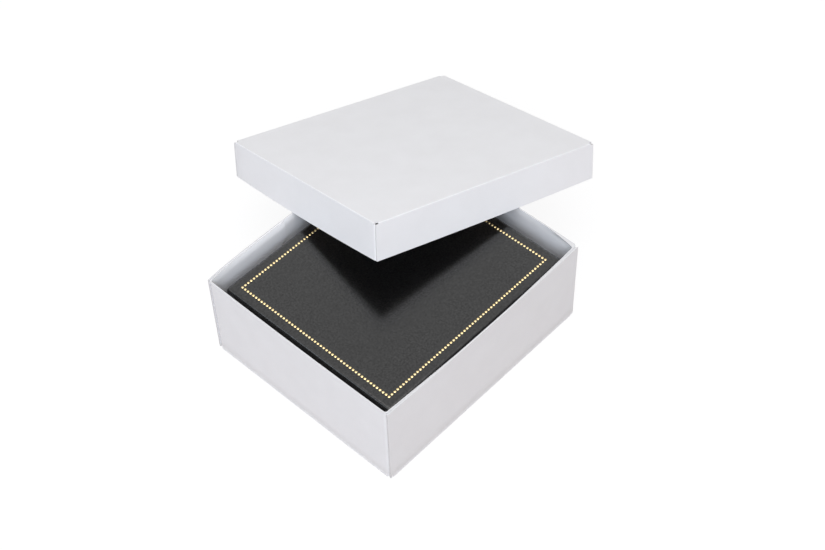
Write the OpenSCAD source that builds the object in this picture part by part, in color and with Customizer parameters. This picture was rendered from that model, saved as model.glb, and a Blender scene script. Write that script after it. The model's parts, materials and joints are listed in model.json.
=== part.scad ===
// Hinged jewelry box packed in a two-piece folding carton. The carton's lid is taken off and
// props on the back corner of its tray. Millimetres, +Z up, origin under the middle of the tray.
// The front of the inner box faces -Y and its hinge lies along +Y.

/* [Inner box] */
// Width of the inner box over its covering
box_w = 83; // [70:0.5:120]
// Depth of the inner box from front to hinge
box_d = 74; // [60:0.5:110]
// Height of the lower half
base_h = 18.5; // [16:0.5:30]
// Height of the hinged upper half
cap_h = 13.4; // [12:0.2:24]
// Gap between the closed halves
parting_gap = 0.2; // [0.1:0.05:0.4]
// Roundness of the corners and of the top edges
soft_r = 1.6; // [1.2:0.1:3]
// Wall of the moulded shells
shell_t = 1.6; // [1.2:0.1:2.4]
// Thickness of the leatherette covering
cover_t = 0.4; // [0.2:0.05:0.6]
// How far the covering turns in over a rim
rim_turn = 4; // [2:0.5:6]
// How far the covering turns in under the bottom
bottom_turn = 9; // [5:0.5:15]

/* [Gold border] */
// Distance of the row of dots from the edges of the box
border_inset = 4.2; // [3:0.1:12]
// Diameter of one stamped dot
dot_d = 0.95; // [0.6:0.05:1.2]
// Wanted distance from dot to dot
dot_pitch = 1.29; // [1.25:0.01:3]
// Height of the foil over the covering
foil_t = 0.06; // [0.03:0.01:0.2]

/* [Hinge] */
// Length of the hinge along the back
hinge_len = 46; // [30:1:60]
// Diameter of the hinge pin
pin_d = 1.2; // [1:0.1:1.4]
// Outer diameter of the knuckles
knuckle_d = 2.4; // [2.2:0.1:3]
// Play between the pin and a knuckle, on the radius
pin_play = 0.03; // [0.01:0.01:0.08]
// Number of knuckles on the pin
knuckle_count = 5; // [3:2:7]
// Gap between neighbouring knuckles
knuckle_gap = 0.3; // [0.2:0.05:0.6]
// Room around the hinge in the walls and the covering
hinge_room = 0.15; // [0.1:0.05:0.3]
// Sheet thickness of the leaves
leaf_t = 0.5; // [0.3:0.05:0.7]
// Reach of a leaf along its wall, from the pin
leaf_reach = 8; // [6.5:0.5:10]
// Diameter of a rivet's shank
rivet_d = 1.6; // [1.2:0.1:2]
// Diameter of a rivet's head
head_d = 3; // [2.4:0.1:4]
// Thickness of a rivet's head and of the snap spring
head_t = 0.4; // [0.3:0.05:0.6]
// Distance between the two rivets of a leaf
rivet_span = 32; // [20:1:44]
// Width of the snap spring
spring_w = 10; // [6:0.5:14]

/* [Lining] */
// Thickness of the card collar in the lower half
collar_t = 0.8; // [0.5:0.1:1.5]
// How far the collar stays below the rim
collar_drop = 1.2; // [0.5:0.1:3]
// Board thickness of the insert's platform and of the upper pad
card_t = 0.8; // [0.5:0.1:1.5]
// Height of the platform under the insert
platform_h = 6; // [3:0.5:12]
// Thickness of the foam on the platform
foam_t = 3.5; // [2:0.5:6]
// Thickness of the wadding behind the satin
wadding_t = 1.5; // [1:0.1:3]
// Thickness of a pad along its edge
pad_edge = 1; // [0.6:0.1:2]
// Rise of the velvet pad's crown
velvet_crown = 2.2; // [1:0.1:3]
// Rise of the satin pad's crown
satin_crown = 2.6; // [1:0.1:3.2]
// How far a pad's sides draw in between its corners
pad_draw = 0.8; // [0:0.1:1.5]
// Play around the insert and the pads
pad_play = 0.3; // [0.2:0.05:0.8]
// Length of a slit in the velvet pad
slit_l = 14; // [8:1:20]
// Width of a slit
slit_w = 0.8; // [0.5:0.1:1.5]
// Depth of a slit below the pad's edge
slit_depth = 0.4; // [0.2:0.1:0.6]
// Distance between the two slits
slit_span = 34; // [24:1:44]

/* [Carton] */
// Thickness of the folding board
board = 0.5; // [0.4:0.05:1]
// Inner radius of a fold
fold_r = 0.4; // [0.3:0.05:1]
// Slope of a glue tab's lower edge, in degrees
tab_slope = 40; // [20:1:42]
// How far a cut edge stops short of the wall it meets
edge_cut = 0.25; // [0.1:0.05:0.6]
// Room between the inner box and the carton's left wall
left_gap = 1.9; // [0.5:0.1:8]
// Room between the inner box and the carton's right wall
right_gap = 5.5; // [0.5:0.1:8]
// Room between the inner box and the glue tabs on the carton's front wall
front_gap = 0.3; // [0.2:0.1:8]
// Room between the inner box and the glue tabs on the carton's back wall
back_gap = 4.1; // [2:0.1:8]
// Rise of the tray's rim over the inner box
headroom = 2.1; // [1:0.1:10]
// Gap under the inner box
seat_gap = 0.3; // [0.1:0.05:0.4]
// Depth of the carton's lid
lid_h = 13.4; // [10:0.2:20]
// Room between the lid and the tray when the carton is closed, on each side
lid_play = 0.55; // [0.2:0.05:0.8]

/* [Propped lid] */
// From the lid's left wall to the tray corner that touches its underside
prop_u = 49; // [44:0.5:54]
// From the lid's front wall to that tray corner
prop_v = 51.4; // [46:0.2:56]
// From the lid's left wall to where its front wall rests on the tray
rest_u = 58.6; // [56:0.2:62]
// Clearance at the three places where the lid rests
prop_gap = 0.25; // [0.15:0.05:0.5]

/* [Hidden] */
$fn = 48;
// Overlap that joins two shapes
eps = 0.01;
// How far a cut runs past the face that it opens
past = 1;
// Smallest corner radius inside a wall
min_r = 0.3;
// Steps of a pad's surface from side to side
pad_steps = 12;

// Levels from the table up
box_h = base_h + parting_gap + cap_h;
box_z = board + seat_gap;
base_rim = box_z + base_h;
cap_rim = base_rim + parting_gap;
box_top = box_z + box_h;
tray_h = box_top + headroom;
floor_z = box_z + cover_t + shell_t;
ceiling_z = box_top - cover_t - shell_t;

// Carton in plan
tray_w = box_w + left_gap + right_gap + 2 * board;
tray_d = box_d + front_gap + back_gap + 4 * board;
lid_w = tray_w + 2 * (lid_play + board);
lid_d = tray_d + 2 * (lid_play + board);
fold_out = fold_r + board;

// Middle of the inner box, which stands loose in the tray
box_x = (left_gap - right_gap) / 2;
box_y = (front_gap - back_gap) / 2;

// Hinge axis, on the back face of the inner box at the parting
axis_y = box_y + box_d / 2;
axis_z = base_rim + parting_gap / 2;
knuckle_r = knuckle_d / 2;
knuckle_pitch = hinge_len / knuckle_count;
// Depth of the shell's inner face behind the back of the box
wall_in = cover_t + shell_t;
// Depth to which the hinge reaches into the box
hinge_in = wall_in + leaf_t + head_t;
rivet_rise = (leaf_reach + knuckle_r) / 2;

// Insert and pads in plan
collar_in = hinge_in + hinge_room;
insert_w = box_w - 2 * (collar_in + collar_t + pad_play);
insert_d = box_d - 2 * (collar_in + collar_t + pad_play);
cap_pad_w = box_w - 2 * (hinge_in + pad_play);
cap_pad_d = box_d - 2 * (hinge_in + pad_play);
pad_r = soft_r;
foam_z = floor_z + platform_h;
velvet_z = foam_z + foam_t;
satin_z = ceiling_z - card_t - wadding_t;

// Gold border: the dots share each side evenly, and a corner dot belongs to both sides
border_w = box_w - 2 * border_inset;
border_d = box_d - 2 * border_inset;
dots_w = round(border_w / dot_pitch);
dots_d = round(border_d / dot_pitch);

// Pose of the propped lid. Its underside lies on the tray's back corner, its left wall on
// the tray's back rim and its front wall on the tray's right rim. Seen from the lid, the two
// rims leave that corner at a right angle, which fixes the third contact.
lid_drop = lid_h - board;
rest_v = prop_v + (lid_drop * lid_drop - prop_u * (rest_u - prop_u)) / prop_v;
back_rim = [-prop_u, rest_v - prop_v, -lid_drop];
right_rim = [rest_u - prop_u, -prop_v, -lid_drop];
lid_x = -back_rim / norm(back_rim);
lid_y = -right_rim / norm(right_rim);
lid_z = cross(lid_x, lid_y);

// Moves its children to the middle of the inner box
module at_box(z) {
    translate([box_x, box_y, z]) children();
}

// Moves its children to the hinge axis
module at_axis() {
    translate([box_x, axis_y, axis_z]) children();
}

// Extrudes an outline that is drawn in Y and Z along X, centred
module along_x(length) {
    rotate([90, 0, 90]) linear_extrude(length, center = true) children();
}

// Extrudes an outline that is drawn in X and Z along Y, centred
module along_y(length) {
    rotate([90, 0, 0]) linear_extrude(length, center = true) children();
}

// Repeats its children in the four corners by mirroring
module four_corners() {
    for (mx = [0, 1], my = [0, 1])
        mirror([mx, 0, 0]) mirror([0, my, 0]) children();
}

// Rectangle of the box's plan, drawn in by inset, with rounded corners
module plan(inset) {
    r = max(soft_r - inset, min_r);
    w = box_w - 2 * inset;
    d = box_d - 2 * inset;
    square([w - 2 * r, d], center = true);
    square([w, d - 2 * r], center = true);
    for (sx = [-1, 1], sy = [-1, 1])
        translate([sx * (w / 2 - r), sy * (d / 2 - r)]) circle(r);
}

// Band that follows the box's plan between two insets, from z0 to z1
module band(outer, inner, z0, z1) {
    at_box(z0) linear_extrude(z1 - z0) difference() {
        plan(outer);
        plan(inner);
    }
}

// Block of the box's plan, drawn in by inset, with rounded top edges
module soft_block(inset, z0, z1) {
    r = max(soft_r - inset, min_r);
    w = box_w - 2 * inset;
    d = box_d - 2 * inset;
    edge_z = z1 - r;
    at_box(z0) linear_extrude(edge_z - z0) plan(inset);
    at_box(edge_z) translate([r - w / 2, r - d / 2, -eps]) cube([w - 2 * r, d - 2 * r, r + eps]);
    for (s = [-1, 1]) {
        at_box(edge_z) translate([0, s * (d / 2 - r), 0]) along_x(w - 2 * r) circle(r);
        at_box(edge_z) translate([s * (w / 2 - r), 0, 0]) along_y(d - 2 * r) circle(r);
        for (t = [-1, 1])
            at_box(edge_z) translate([s * (w / 2 - r), t * (d / 2 - r), 0]) sphere(r);
    }
}

// Space that the hinge takes out of the back wall
module hinge_notch() {
    room = knuckle_r + hinge_room;
    depth = wall_in + cover_t + hinge_room;
    at_axis() translate([-hinge_len / 2 - hinge_room, -depth, -room])
        cube([hinge_len + 2 * hinge_room, depth + past, 2 * room]);
}

// Two holes for the rivets of one leaf, through the back wall, on side s of the pin
module rivet_holes(s) {
    for (sx = [-1, 1])
        at_axis() translate([sx * rivet_span / 2, past, s * rivet_rise]) rotate([90, 0, 0])
            cylinder(d = rivet_d + 2 * pin_play, h = hinge_in + 2 * past);
}

// Quarter round of a fold along Z, from the wall on -X to the wall on -Y
module fold_round(length) {
    rotate(180) intersection() {
        difference() {
            cylinder(r = fold_out, h = length);
            translate([0, 0, -past]) cylinder(r = fold_r, h = length + 2 * past);
        }
        cube([fold_out, fold_out, length]);
    }
}

// Wall that rises from the floor along Y on the side of -X, with the fold under it
module folded_wall(length, fold_length, h) {
    translate([0, -length / 2, fold_out]) cube([board, length, h - fold_out]);
    translate([fold_out, fold_length / 2, fold_out]) rotate([90, 0, 0]) fold_round(fold_length);
}

// Folded blank with its floor at z = 0. The left and right walls end in glue tabs, which lie
// inside the front and back walls. A tab is as long as it is high, so that its corner folds
// flat. The vertices stay open where the folds meet.
module folded_blank(w, d, h) {
    side_d = d - 2 * (board + fold_out);
    tab_z = fold_out + edge_cut;
    tab_len = h - tab_z;
    translate([fold_out - w / 2, fold_out - d / 2, 0])
        cube([w - 2 * fold_out, d - 2 * fold_out, board]);
    for (turn = [0, 180]) rotate(turn) {
        translate([-w / 2, 0, 0]) folded_wall(side_d, side_d, h);
        translate([0, -d / 2, 0]) rotate(90)
            folded_wall(w - 2 * edge_cut, w - 2 * (fold_out + edge_cut), h);
    }
    four_corners() translate([fold_out - w / 2, board - d / 2, 0]) {
        translate([0, fold_out, tab_z]) fold_round(h - tab_z);
        translate([0, board, 0]) rotate([90, 0, 0]) linear_extrude(board)
            polygon([[0, tab_z], [0, h], [tab_len, h], [tab_len, tab_z + tab_len * tan(tab_slope)]]);
    }
}

// Places the carton's lid, open side down, as it props on the tray
module propped() {
    turn = [
        [lid_x.x, lid_x.y, lid_x.z, 0],
        [lid_y.x, lid_y.y, lid_y.z, 0],
        [lid_z.x, lid_z.y, lid_z.z, 0],
        [0, 0, 0, 1]
    ];
    translate([tray_w / 2, tray_d / 2, tray_h + prop_gap]) multmatrix(turn)
        translate([lid_w / 2 - board - prop_u, lid_d / 2 - board - prop_v, board])
            rotate([180, 0, 0]) children();
}

// Crowned pad on z = 0: its sides draw in between the corners and its top swells
function pad_share(i) = 2 * i / pad_steps - 1;
function pad_swell(u, v) = sqrt(max(0, (1 - pow(u, 4)) * (1 - pow(v, 4))));
function pad_point(w, d, crown, u, v, top) = [
    u * (w / 2 - pad_draw * (1 - v * v)),
    v * (d / 2 - pad_draw * (1 - u * u)),
    top ? pad_edge + crown * pad_swell(u, v) : 0
];
module crowned_pad(w, d, crown) {
    n = pad_steps;
    row = n + 1;
    layer = row * row;
    points = [for (top = [false, true], i = [0:n], j = [0:n])
        pad_point(w, d, crown, pad_share(i), pad_share(j), top)];
    top_faces = [for (i = [0:n - 1], j = [0:n - 1])
        let (a = layer + i * row + j)
        each [[a, a + 1, a + row], [a + 1, a + row + 1, a + row]]];
    bottom_faces = [for (i = [0:n - 1], j = [0:n - 1])
        let (a = i * row + j)
        each [[a, a + row, a + 1], [a + 1, a + row, a + row + 1]]];
    rims = [for (k = [0:n - 1]) each [
        [k, k + 1],
        [n * row + k + 1, n * row + k],
        [(k + 1) * row, k * row],
        [k * row + n, (k + 1) * row + n]
    ]];
    side_faces = [for (e = rims) each [
        [e[0], e[1], e[1] + layer],
        [e[0], e[1] + layer, e[0] + layer]
    ]];
    polyhedron(points, concat(top_faces, bottom_faces, side_faces), convexity = 4);
}

// Knuckles of one leaf: every second one from the first index, with its tongue on side s
module knuckles(first, s) {
    length = knuckle_pitch - knuckle_gap;
    tongue = wall_in + leaf_t;
    for (k = [first:2:knuckle_count - 1])
        translate([(k + 0.5) * knuckle_pitch - hinge_len / 2, 0, 0]) {
            rotate([0, 90, 0]) cylinder(d = knuckle_d, h = length, center = true);
            translate([-length / 2, -tongue, s > 0 ? knuckle_r - leaf_t : -knuckle_r])
                cube([length, tongue, leaf_t]);
        }
}

// Hinge leaf on the inner face of the back wall, up (s = 1) or down (s = -1) from the pin
module hinge_leaf(first, s) {
    plate_h = leaf_reach - knuckle_r + leaf_t;
    difference() {
        at_axis() {
            knuckles(first, s);
            translate([-hinge_len / 2, -wall_in - leaf_t, s > 0 ? leaf_reach - plate_h : -leaf_reach])
                cube([hinge_len, leaf_t, plate_h]);
        }
        at_axis() rotate([0, 90, 0])
            cylinder(d = pin_d + 2 * pin_play, h = hinge_len + 2 * past, center = true);
        rivet_holes(s);
    }
}

// Two rivets of one leaf, their heads inside the box
module rivets(s) {
    for (sx = [-1, 1])
        at_axis() translate([sx * rivet_span / 2, -hinge_in, s * rivet_rise]) rotate([-90, 0, 0]) {
            cylinder(d = head_d, h = head_t);
            cylinder(d = rivet_d, h = hinge_in - cover_t);
        }
}

module carton_tray() {
    color("#e2e2e4") folded_blank(tray_w, tray_d, tray_h);
}

module carton_lid() {
    color("#e4e4e8") propped() folded_blank(lid_w, lid_d, lid_h);
}

module base_shell() {
    color("#2a2a2c") difference() {
        at_box(box_z + cover_t) linear_extrude(base_h - 2 * cover_t) plan(cover_t);
        at_box(floor_z) linear_extrude(base_h) plan(wall_in);
        hinge_notch();
        rivet_holes(-1);
    }
}

module base_cover() {
    color("#0c0c0d") difference() {
        union() {
            band(0, cover_t, box_z, base_rim);
            band(cover_t - eps, wall_in + cover_t, base_rim - cover_t, base_rim);
            band(wall_in, wall_in + cover_t, base_rim - rim_turn, base_rim - cover_t + eps);
            band(cover_t - eps, cover_t + bottom_turn, box_z, box_z + cover_t);
        }
        hinge_notch();
        leaf_window(-1);
    }
}

// Space that a leaf takes out of the covering's turned-in rim
module leaf_window(s) {
    height = leaf_reach + hinge_room;
    depth = cover_t + hinge_room;
    at_axis() translate([-hinge_len / 2 - hinge_room, -wall_in - depth, s > 0 ? 0 : -height])
        cube([hinge_len + 2 * hinge_room, depth, height]);
}

module base_bottom_sheet() {
    color("#141414") at_box(box_z) linear_extrude(cover_t) plan(cover_t + bottom_turn + hinge_room);
}

module base_collar() {
    color("#1b1b1d") band(collar_in, collar_in + collar_t, floor_z, base_rim - collar_drop);
}

module insert_platform() {
    color("#b9b2a4") at_box(floor_z) difference() {
        translate([0, 0, platform_h / 2]) cube([insert_w, insert_d, platform_h], center = true);
        translate([0, 0, (platform_h - card_t) / 2 - eps])
            cube([insert_w - 2 * card_t, insert_d + past, platform_h - card_t + 2 * eps], center = true);
    }
}

module insert_foam() {
    color("#d8d4c6") at_box(foam_z) translate([0, 0, foam_t / 2])
        cube([insert_w - 2 * pad_draw, insert_d - 2 * pad_draw, foam_t], center = true);
}

module velvet_pad() {
    color("#19191b") at_box(velvet_z) difference() {
        crowned_pad(insert_w, insert_d, velvet_crown);
        for (s = [-1, 1])
            translate([s * slit_span / 2 - slit_l / 2, -slit_w / 2, pad_edge - slit_depth])
                cube([slit_l, slit_w, velvet_crown + slit_depth + past]);
    }
}

module cap_shell() {
    color("#2a2a2c") difference() {
        soft_block(cover_t, cap_rim + cover_t, box_top - cover_t);
        at_box(cap_rim - past) linear_extrude(ceiling_z - cap_rim + past) plan(wall_in);
        hinge_notch();
        rivet_holes(1);
    }
}

module cap_cover() {
    color("#0c0c0d") difference() {
        union() {
            difference() {
                soft_block(0, cap_rim, box_top);
                soft_block(cover_t, cap_rim - past, box_top - cover_t);
            }
            band(cover_t - eps, wall_in + cover_t, cap_rim, cap_rim + cover_t);
            band(wall_in, wall_in + cover_t, cap_rim + cover_t - eps, cap_rim + rim_turn);
        }
        hinge_notch();
        leaf_window(1);
    }
}

module gold_border() {
    color("#e6c878") at_box(box_top) {
        for (k = [0:dots_w], s = [-1, 1])
            translate([(k / dots_w - 0.5) * border_w, s * border_d / 2, 0])
                cylinder(d = dot_d, h = foil_t);
        for (k = [1:dots_d - 1], s = [-1, 1])
            translate([s * border_w / 2, (k / dots_d - 0.5) * border_d, 0])
                cylinder(d = dot_d, h = foil_t);
    }
}

module cap_board() {
    color("#b9b2a4") at_box(ceiling_z - card_t / 2) cube([cap_pad_w, cap_pad_d, card_t], center = true);
}

module cap_wadding() {
    color("#f2f0ea") at_box(satin_z + wadding_t / 2)
        cube([cap_pad_w - 2 * pad_draw, cap_pad_d - 2 * pad_draw, wadding_t], center = true);
}

module satin_pad() {
    color("#efece4") at_box(satin_z) mirror([0, 0, 1]) crowned_pad(cap_pad_w, cap_pad_d, satin_crown);
}

module hinge_leaf_base() {
    color("#c9a75e") hinge_leaf(0, -1);
}

module hinge_leaf_cap() {
    color("#c9a75e") hinge_leaf(1, 1);
}

module hinge_pin() {
    color("#b8bcc0") at_axis() rotate([0, 90, 0]) cylinder(d = pin_d, h = hinge_len, center = true);
}

// Snap spring on the lower leaf. Its tip bears on the upper leaf from inside.
module hinge_spring() {
    foot = -leaf_reach;
    seat = -wall_in - leaf_t;
    crest = knuckle_r + leaf_t;
    tip = 2 * knuckle_r;
    color("#c8ccd0") at_axis() along_x(spring_w) polygon([
        [seat, foot],
        [seat, -knuckle_r],
        [seat - hinge_room, crest],
        [seat - pin_play, tip],
        [seat - head_t, tip],
        [seat - head_t - hinge_room, crest],
        [seat - head_t, -knuckle_r],
        [seat - head_t, foot]
    ]);
}

module hinge_rivets_base() {
    color("#c9a75e") rivets(-1);
}

module hinge_rivets_cap() {
    color("#c9a75e") rivets(1);
}

carton_tray();
carton_lid();
base_shell();
base_cover();
base_bottom_sheet();
base_collar();
insert_platform();
insert_foam();
velvet_pad();
cap_shell();
cap_cover();
gold_border();
cap_board();
cap_wadding();
satin_pad();
hinge_leaf_base();
hinge_leaf_cap();
hinge_pin();
hinge_spring();
hinge_rivets_base();
hinge_rivets_cap();
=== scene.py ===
"""Looks of a hinged jewel box in its white folding carton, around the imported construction.

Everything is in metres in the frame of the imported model: +Z is up, the front of the inner box
faces -Y, its hinge lies along +Y, and the middle of the carton tray's bottom is the origin.
"""

import json
import logging
import math
from dataclasses import dataclass, field
from enum import Enum
from typing import Any, Callable, Iterable

import bmesh
import bpy
from bmesh.types import BMEdge, BMFace, BMVert
from bpy.types import Material, Object
from mathutils import Matrix, Vector, noise

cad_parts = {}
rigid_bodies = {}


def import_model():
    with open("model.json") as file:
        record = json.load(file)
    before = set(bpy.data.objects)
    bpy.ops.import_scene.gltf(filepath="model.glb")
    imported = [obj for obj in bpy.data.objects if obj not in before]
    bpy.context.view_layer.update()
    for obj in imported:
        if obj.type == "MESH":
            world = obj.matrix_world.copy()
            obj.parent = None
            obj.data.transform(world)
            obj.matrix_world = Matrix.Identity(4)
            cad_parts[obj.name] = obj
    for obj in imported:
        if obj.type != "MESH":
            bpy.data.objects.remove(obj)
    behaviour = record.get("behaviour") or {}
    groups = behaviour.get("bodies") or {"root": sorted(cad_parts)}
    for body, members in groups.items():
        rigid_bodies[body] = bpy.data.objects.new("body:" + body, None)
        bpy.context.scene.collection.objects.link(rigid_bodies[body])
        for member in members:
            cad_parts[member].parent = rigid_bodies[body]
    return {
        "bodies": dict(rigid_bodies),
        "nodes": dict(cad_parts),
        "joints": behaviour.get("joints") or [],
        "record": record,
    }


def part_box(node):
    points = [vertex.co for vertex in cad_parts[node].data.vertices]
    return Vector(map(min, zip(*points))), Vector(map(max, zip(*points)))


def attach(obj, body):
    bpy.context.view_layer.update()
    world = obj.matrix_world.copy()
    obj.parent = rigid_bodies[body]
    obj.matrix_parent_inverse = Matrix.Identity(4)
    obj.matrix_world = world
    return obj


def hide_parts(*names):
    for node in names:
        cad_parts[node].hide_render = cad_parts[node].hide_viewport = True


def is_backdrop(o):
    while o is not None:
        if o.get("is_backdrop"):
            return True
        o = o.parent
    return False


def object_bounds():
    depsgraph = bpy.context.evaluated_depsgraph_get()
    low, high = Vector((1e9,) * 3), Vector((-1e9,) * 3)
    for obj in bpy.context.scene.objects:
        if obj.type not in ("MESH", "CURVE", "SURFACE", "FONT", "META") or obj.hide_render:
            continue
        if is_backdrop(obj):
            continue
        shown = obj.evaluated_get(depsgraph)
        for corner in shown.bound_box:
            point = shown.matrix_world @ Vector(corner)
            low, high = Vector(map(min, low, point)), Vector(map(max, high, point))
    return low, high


LOG = logging.getLogger("jewel_box")
MM = 0.001
STEEP = 0.9
LEVEL = 0.5
Colour = tuple[float, float, float]
Point = tuple[float, float, float]
Profile = list[tuple[float, float]]
Stops = list[tuple[float, float]]
WHITE = (1.0, 1.0, 1.0, 1.0)


class Wire:
    """An output of a node, on which arithmetic adds Math nodes."""

    def __init__(self, recipe: "Recipe", socket: bpy.types.NodeSocket) -> None:
        """Keeps the socket and the recipe that it belongs to."""
        self.recipe = recipe
        self.socket = socket

    def _math(self, operation: str, *values: "Wire | float") -> "Wire":
        """Adds a Math node.

        Args:
            operation: Name of the Math node's operation.
            values: Links or numbers for its inputs, in order.

        Returns:
            The node's result.
        """
        return self.recipe.node("ShaderNodeMath", {"operation": operation}, dict(enumerate(values)))

    def __add__(self, other: "Wire | float") -> "Wire":
        """Sum."""
        return self._math("ADD", self, other)

    def __radd__(self, other: float) -> "Wire":
        """Sum with a number on the left."""
        return self._math("ADD", other, self)

    def __sub__(self, other: "Wire | float") -> "Wire":
        """Difference."""
        return self._math("SUBTRACT", self, other)

    def __rsub__(self, other: float) -> "Wire":
        """Difference from a number on the left."""
        return self._math("SUBTRACT", other, self)

    def __mul__(self, other: "Wire | float") -> "Wire":
        """Product."""
        return self._math("MULTIPLY", self, other)

    def __rmul__(self, other: float) -> "Wire":
        """Product with a number on the left."""
        return self._math("MULTIPLY", other, self)

    def either(self, other: "Wire") -> "Wire":
        """The larger of two values."""
        return self._math("MAXIMUM", self, other)


class Recipe:
    """The node tree of one material or of the world, with one method that makes any node."""

    def __init__(self, tree: bpy.types.NodeTree) -> None:
        """Empties the tree."""
        self.tree = tree
        tree.nodes.clear()

    def node(
        self,
        kind: str,
        settings: dict[str, Any] | None = None,
        inputs: dict[str | int, Any] | None = None,
        output: str | int = 0,
    ) -> Wire | None:
        """Adds a node.

        Args:
            kind: Type of the node.
            settings: Its properties, set first; "stops" gives a ramp's places and colours.
            inputs: Links or values of its sockets, by name or number.
            output: Which output is wanted.

        Returns:
            That output, or None for a node that has none.
        """
        made = self.tree.nodes.new(kind)
        for name, value in (settings or {}).items():
            if name == "stops":
                self._set_stops(made.color_ramp, value)
            else:
                setattr(made, name, value)
        for key, value in (inputs or {}).items():
            if isinstance(value, Wire):
                self.tree.links.new(value.socket, made.inputs[key])
            else:
                made.inputs[key].default_value = value
        return Wire(self, made.outputs[output]) if len(made.outputs) else None

    @staticmethod
    def _set_stops(ramp: bpy.types.ColorRamp, stops: Stops) -> None:
        """Gives a ramp its grey stops.

        Args:
            ramp: The ramp of a Color Ramp node.
            stops: Place and grey level of each stop, in order.
        """
        while len(ramp.elements) < len(stops):
            ramp.elements.new(1.0)
        for element, (place, level) in zip(ramp.elements, stops):
            element.position = place
            element.color = (level, level, level, 1.0)

    def place(self, scale: Point = (1.0, 1.0, 1.0)) -> Wire:
        """Object coordinates.

        Args:
            scale: Stretch of the pattern along each axis.

        Returns:
            The point in metres, times the stretch.
        """
        point = self.node("ShaderNodeTexCoord", output="Object")
        if scale == (1.0, 1.0, 1.0):
            return point
        return self.node("ShaderNodeMapping", inputs={"Vector": point, "Scale": scale})

    def noise(self, size: float, detail: float = 2.0, point: Wire | None = None) -> Wire:
        """Soft noise from 0 to 1.

        Args:
            size: Size of its features in metres.
            detail: Number of finer layers.
            point: Where it is read, or None for object coordinates.

        Returns:
            The noise value.
        """
        inputs = {"Vector": point or self.place(), "Scale": 1.0 / size, "Detail": detail}
        return self.node("ShaderNodeTexNoise", inputs=inputs)

    def pebbles(self, size: float) -> Wire:
        """Rounded cells, as of pressed grain.

        Args:
            size: Size of a cell in metres.

        Returns:
            The distance to the middle of the cell.
        """
        settings = {"feature": "SMOOTH_F1"}
        inputs = {"Vector": self.place(), "Scale": 1.0 / size, "Smoothness": 0.6}
        return self.node("ShaderNodeTexVoronoi", settings, inputs)

    def ramp(self, value: Wire, low: float, high: float) -> Wire:
        """Stretches the values from low to high over 0 to 1."""
        stops = [(low, 0.0), (high, 1.0)]
        return self.node("ShaderNodeValToRGB", {"stops": stops}, {"Fac": value})

    def blend(self, share: Wire, low: Colour, high: Colour) -> Wire:
        """Mixes two colours.

        Args:
            share: Share of the second colour, from 0 to 1.
            low: Colour at 0.
            high: Colour at 1.

        Returns:
            The mixed colour.
        """
        inputs = {0: share, 6: (*low, 1.0), 7: (*high, 1.0)}
        return self.node("ShaderNodeMix", {"data_type": "RGBA"}, inputs, output=2)

    def bump(self, height: Wire, depth: float, strength: float = 1.0, under: Wire | None = None) -> Wire:
        """Turns a height into a normal.

        Args:
            height: Height from 0 to 1.
            depth: What a height of 1 stands for, in metres.
            strength: How much of it shows.
            under: Normal that it is laid over, or None for the piece's own.

        Returns:
            The bumped normal.
        """
        inputs = {"Height": height, "Distance": depth, "Strength": strength}
        if under:
            inputs["Normal"] = under
        return self.node("ShaderNodeBump", inputs=inputs)

    def surface(self, **sockets: Any) -> None:
        """Ends the recipe in one Principled surface; an underscore in a name is a space."""
        inputs = {name.replace("_", " "): value for name, value in sockets.items()}
        shader = self.node("ShaderNodeBsdfPrincipled", inputs=inputs)
        self.node("ShaderNodeOutputMaterial", inputs={"Surface": shader})


def new_recipe(name: str) -> tuple[Material, Recipe]:
    """Makes a material with an empty tree.

    Args:
        name: Name of the material.

    Returns:
        The material and its recipe.
    """
    material = bpy.data.materials.new(name)
    material.use_nodes = True
    return material, Recipe(material.node_tree)


class Finish:
    """A finish that paints itself on a new material."""

    name: str

    def paint(self, recipe: Recipe) -> None:
        """Adds the nodes of the finish."""
        raise NotImplementedError

    def make(self) -> Material:
        """Builds the material."""
        material, recipe = new_recipe(self.name)
        self.paint(recipe)
        return material


@dataclass(frozen=True)
class CoatedBoard(Finish):
    """White coated folding board with a faint formation of fibres."""

    name: str = "coated_board"
    clear: Colour = (0.895, 0.897, 0.905)
    cloudy: Colour = (0.868, 0.868, 0.874)
    cloud: float = 9 * MM
    fibre: float = 0.9 * MM
    roughness: float = 0.5
    relief: float = 0.02 * MM
    shine: float = 0.35

    def paint(self, recipe: Recipe) -> None:
        """Adds the nodes of the finish."""
        fibres = recipe.noise(self.fibre, 5.0)
        clouds = recipe.noise(self.cloud, 3.0)
        share = recipe.ramp(clouds * 0.75 + fibres * 0.25, 0.3, 0.7)
        recipe.surface(
            Base_Color=recipe.blend(share, self.clear, self.cloudy),
            Roughness=self.roughness + 0.16 * (fibres - 0.5),
            Normal=recipe.bump(fibres + 0.5 * clouds, self.relief),
            Specular_IOR_Level=self.shine,
        )


@dataclass(frozen=True)
class CutEdge(Finish):
    """Raw cut edge of the board, with its fibres along the cut."""

    name: str = "board_cut_edge"
    light: Colour = (0.73, 0.725, 0.722)
    dark: Colour = (0.675, 0.668, 0.66)
    fibre: float = 0.35 * MM
    relief: float = 0.05 * MM
    roughness: float = 0.8

    def paint(self, recipe: Recipe) -> None:
        """Adds the nodes of the finish."""
        fibres = recipe.noise(self.fibre, 4.0)
        recipe.surface(
            Base_Color=recipe.blend(recipe.ramp(fibres, 0.35, 0.75), self.light, self.dark),
            Roughness=self.roughness + 0.15 * fibres,
            Normal=recipe.bump(fibres, self.relief, 0.6),
        )


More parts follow.
